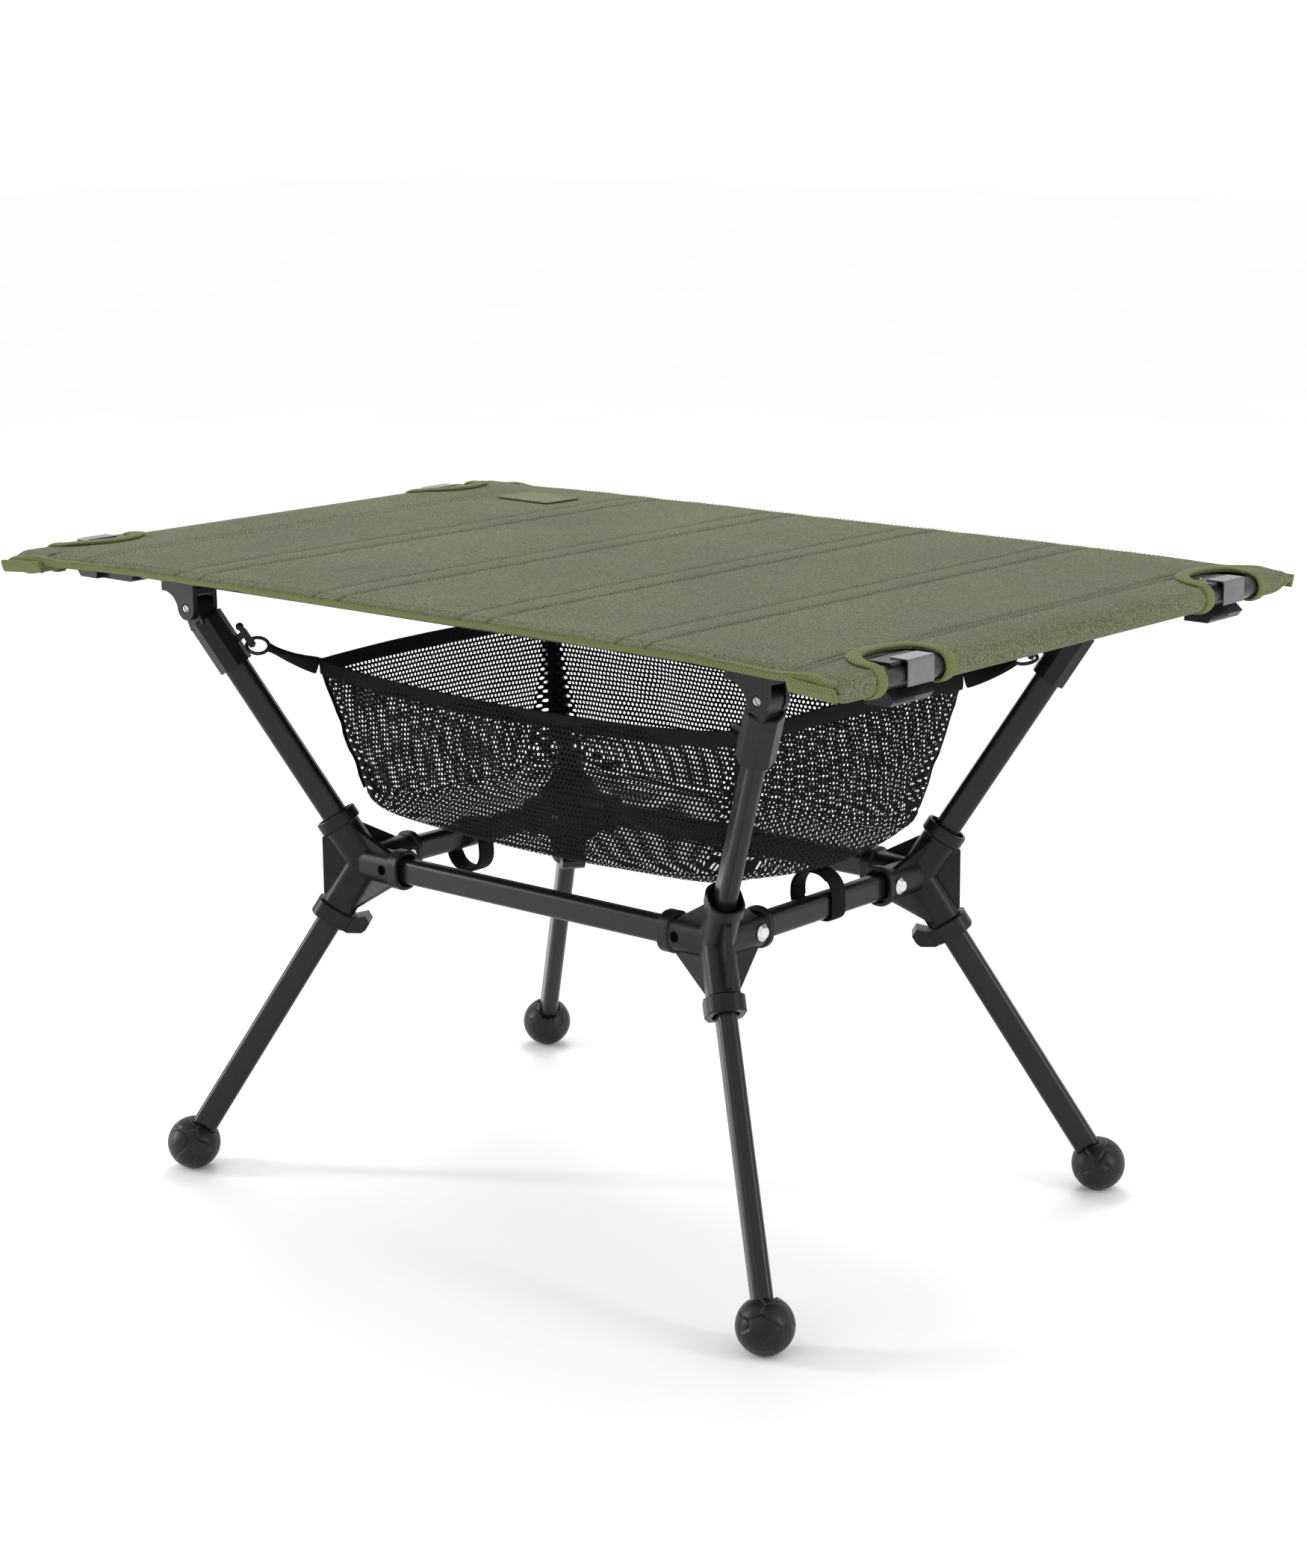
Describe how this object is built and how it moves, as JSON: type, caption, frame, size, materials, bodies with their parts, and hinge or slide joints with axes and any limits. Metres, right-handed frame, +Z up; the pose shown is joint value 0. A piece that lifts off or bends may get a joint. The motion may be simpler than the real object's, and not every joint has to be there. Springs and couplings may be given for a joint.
{
  "type": "camp kitchen table",
  "caption": "Low folding camp table: a woven top on clipped rails over splayed poles with ball feet, and a mesh basket hung beneath.",
  "frame": {"origin": "on the ground, under the middle of the table", "axes": "+X along the table to its right, +Y to its rear, +Z up"},
  "size_m": [0.7466, 0.49, 0.457],
  "materials": {
    "moulded_black_plastic": "fine-grained moulded nylon, satin",
    "pole_paint": "charcoal anodised alloy pole, satin",
    "end_tube_paint": "charcoal anodised alloy tube, satin",
    "ball_plastic": "moulded black, slightly rubbery, satin",
    "pin_steel": "plain steel screw pin",
    "rivet_metal": "silver domed rivet, satin",
    "clip_plate_metal": "bead-blasted grey alloy plate",
    "slat_board": "black composite slat in a sewn channel",
    "olive_cloth": "olive heather woven polyester with a ribbed yellow-green binding",
    "basket_mesh": "black knitted mesh with webbing rim",
    "ring_rubber": "black cord ring, dull",
    "black_webbing": "black woven webbing",
    "shock_cord": "braided elastic cord inside the poles"
  },
  "bodies": {
    "frame": {"hub_front_left": "moulded_black_plastic", "hub_front_right": "moulded_black_plastic", "hub_rear_left": "moulded_black_plastic", "hub_rear_right": "moulded_black_plastic", "upright_front_left": "pole_paint", "upright_front_right": "pole_paint", "upright_rear_left": "pole_paint", "upright_rear_right": "pole_paint", "sleeve_front_left": "moulded_black_plastic", "sleeve_front_right": "moulded_black_plastic", "sleeve_rear_left": "moulded_black_plastic", "sleeve_rear_right": "moulded_black_plastic", "long_bar_front": "pole_paint", "long_bar_rear": "pole_paint", "cross_bar_left": "pole_paint", "cross_bar_right": "pole_paint", "cross_bar_rivets": "rivet_metal", "upright_shock_cords": "shock_cord", "mesh_basket": "basket_mesh", "basket_ties": "black_webbing", "basket_rings": "ring_rubber"},
    "right_brackets": {"bracket_front_right": "moulded_black_plastic", "bracket_rear_right": "moulded_black_plastic", "pivot_pin_front_right": "pin_steel", "pivot_pin_rear_right": "pin_steel"},
    "left_front_bracket": {"bracket_front_left": "moulded_black_plastic", "pivot_pin_front_left": "pin_steel"},
    "left_rear_bracket": {"bracket_rear_left": "moulded_black_plastic", "pivot_pin_rear_left": "pin_steel"},
    "table_top": {"rail_front": "pole_paint", "rail_rear": "pole_paint", "rail_clip_front_left": "moulded_black_plastic", "rail_clip_front_right": "moulded_black_plastic", "rail_clip_rear_left": "moulded_black_plastic", "rail_clip_rear_right": "moulded_black_plastic", "clip_plates": "clip_plate_metal", "end_tube_left": "end_tube_paint", "end_tube_right": "end_tube_paint", "slat_1": "slat_board", "slat_2": "slat_board", "slat_3": "slat_board", "slat_4": "slat_board", "cloth_top": "olive_cloth"},
    "left_strap": {"bar_strap_left": "black_webbing"},
    "right_strap": {"bar_strap_right": "black_webbing"},
    "leg_front_left_assembly": {"leg_front_left": "pole_paint", "ball_foot_front_left": "ball_plastic", "leg_shock_cord_front_left": "shock_cord"},
    "leg_front_right_assembly": {"leg_front_right": "pole_paint", "ball_foot_front_right": "ball_plastic", "leg_shock_cord_front_right": "shock_cord"},
    "leg_rear_left_assembly": {"leg_rear_left": "pole_paint", "ball_foot_rear_left": "ball_plastic", "leg_shock_cord_rear_left": "shock_cord"},
    "leg_rear_right_assembly": {"leg_rear_right": "pole_paint", "ball_foot_rear_right": "ball_plastic", "leg_shock_cord_rear_right": "shock_cord"}
  },
  "joints": [
    {"name": "top_swing", "type": "hinge", "parent": "frame", "child": "right_brackets", "pos_m": [0.259, 0, 0.417], "axis": [0, 1, 0], "range_deg": [0, 70]},
    {"name": "top_lift", "type": "slide", "parent": "right_brackets", "child": "table_top", "axis": [0, 0, 1], "range_m": [0, 0.06]},
    {"name": "left_front_bracket_tilt", "type": "hinge", "parent": "frame", "child": "left_front_bracket", "pos_m": [-0.259, -0.176, 0.417], "axis": [0, 1, 0], "range_deg": [0, 21]},
    {"name": "left_rear_bracket_tilt", "type": "hinge", "parent": "frame", "child": "left_rear_bracket", "pos_m": [-0.259, 0.176, 0.417], "axis": [0, 1, 0], "range_deg": [0, 21]},
    {"name": "leg_pull_front_left", "type": "slide", "parent": "frame", "child": "leg_front_left_assembly", "axis": [-0.4203, -0.3192, -0.8494], "range_m": [0, 0.03]},
    {"name": "leg_pull_front_right", "type": "slide", "parent": "frame", "child": "leg_front_right_assembly", "axis": [0.4203, -0.3192, -0.8494], "range_m": [0, 0.03]},
    {"name": "leg_pull_rear_left", "type": "slide", "parent": "frame", "child": "leg_rear_left_assembly", "axis": [-0.4203, 0.3192, -0.8494], "range_m": [0, 0.03]},
    {"name": "leg_pull_rear_right", "type": "slide", "parent": "frame", "child": "leg_rear_right_assembly", "axis": [0.4203, 0.3192, -0.8494], "range_m": [0, 0.03]},
    {"name": "left_strap_slide", "type": "slide", "parent": "frame", "child": "left_strap", "axis": [0, 1, 0], "range_m": [-0.05, 0.05]},
    {"name": "right_strap_slide", "type": "slide", "parent": "frame", "child": "right_strap", "axis": [0, 1, 0], "range_m": [-0.045, 0.045]}
  ],
  "couplings": [
    {"joint": "left_front_bracket_tilt", "follows": "top_swing", "ratio": 0.3},
    {"joint": "left_rear_bracket_tilt", "follows": "top_swing", "ratio": 0.3}
  ]
}
